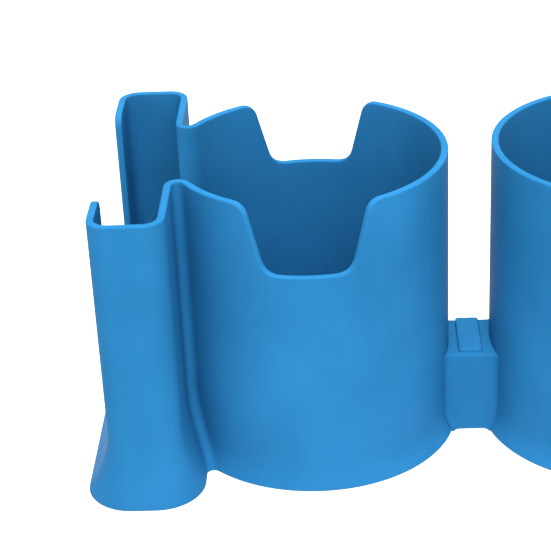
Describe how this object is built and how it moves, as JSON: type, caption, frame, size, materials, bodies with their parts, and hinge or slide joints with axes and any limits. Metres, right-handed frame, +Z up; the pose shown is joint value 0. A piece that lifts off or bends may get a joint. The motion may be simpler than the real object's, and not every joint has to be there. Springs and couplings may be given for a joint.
{
  "type": "test tube rack",
  "caption": "Single-row tube rack of round open cups with notched rims that hook together, with a slotted channel and a flared foot at each end.",
  "frame": {"origin": "on the bench, under the middle of the row", "axes": "+X along the row, to the right; +Y to the back; +Z up, out of the cups"},
  "size_m": [0.2132, 0.0428, 0.0377],
  "materials": {
    "cup_plastic": "satin moulded mid-blue plastic",
    "key_plastic": "satin moulded mid-blue plastic"
  },
  "bodies": {
    "end_cup_left": {"end_cup_left": "cup_plastic"},
    "middle_cup_1": {"middle_cup_1": "cup_plastic"},
    "middle_cup_2": {"middle_cup_2": "cup_plastic"},
    "middle_cup_3": {"middle_cup_3": "cup_plastic"},
    "end_cup_right": {"end_cup_right": "cup_plastic"},
    "lock_key_1": {"lock_key_1": "key_plastic"},
    "lock_key_2": {"lock_key_2": "key_plastic"},
    "lock_key_3": {"lock_key_3": "key_plastic"},
    "lock_key_4": {"lock_key_4": "key_plastic"}
  },
  "joints": [
    {"name": "middle_cup_1_lift", "type": "slide", "parent": "end_cup_left", "child": "middle_cup_1", "axis": [0, 0, 1], "range_m": [0, 0.012]},
    {"name": "middle_cup_2_lift", "type": "slide", "parent": "middle_cup_1", "child": "middle_cup_2", "axis": [0, 0, 1], "range_m": [0, 0.012]},
    {"name": "middle_cup_3_lift", "type": "slide", "parent": "middle_cup_2", "child": "middle_cup_3", "axis": [0, 0, 1], "range_m": [0, 0.012]},
    {"name": "end_cup_right_lift", "type": "slide", "parent": "middle_cup_3", "child": "end_cup_right", "axis": [0, 0, 1], "range_m": [0, 0.012]},
    {"name": "lock_key_1_pull", "type": "slide", "parent": "middle_cup_1", "child": "lock_key_1", "axis": [0, 0, 1], "range_m": [0, 0.009]},
    {"name": "lock_key_2_pull", "type": "slide", "parent": "middle_cup_2", "child": "lock_key_2", "axis": [0, 0, 1], "range_m": [0, 0.009]},
    {"name": "lock_key_3_pull", "type": "slide", "parent": "middle_cup_3", "child": "lock_key_3", "axis": [0, 0, 1], "range_m": [0, 0.009]},
    {"name": "lock_key_4_pull", "type": "slide", "parent": "end_cup_right", "child": "lock_key_4", "axis": [0, 0, 1], "range_m": [0, 0.009]}
  ]
}
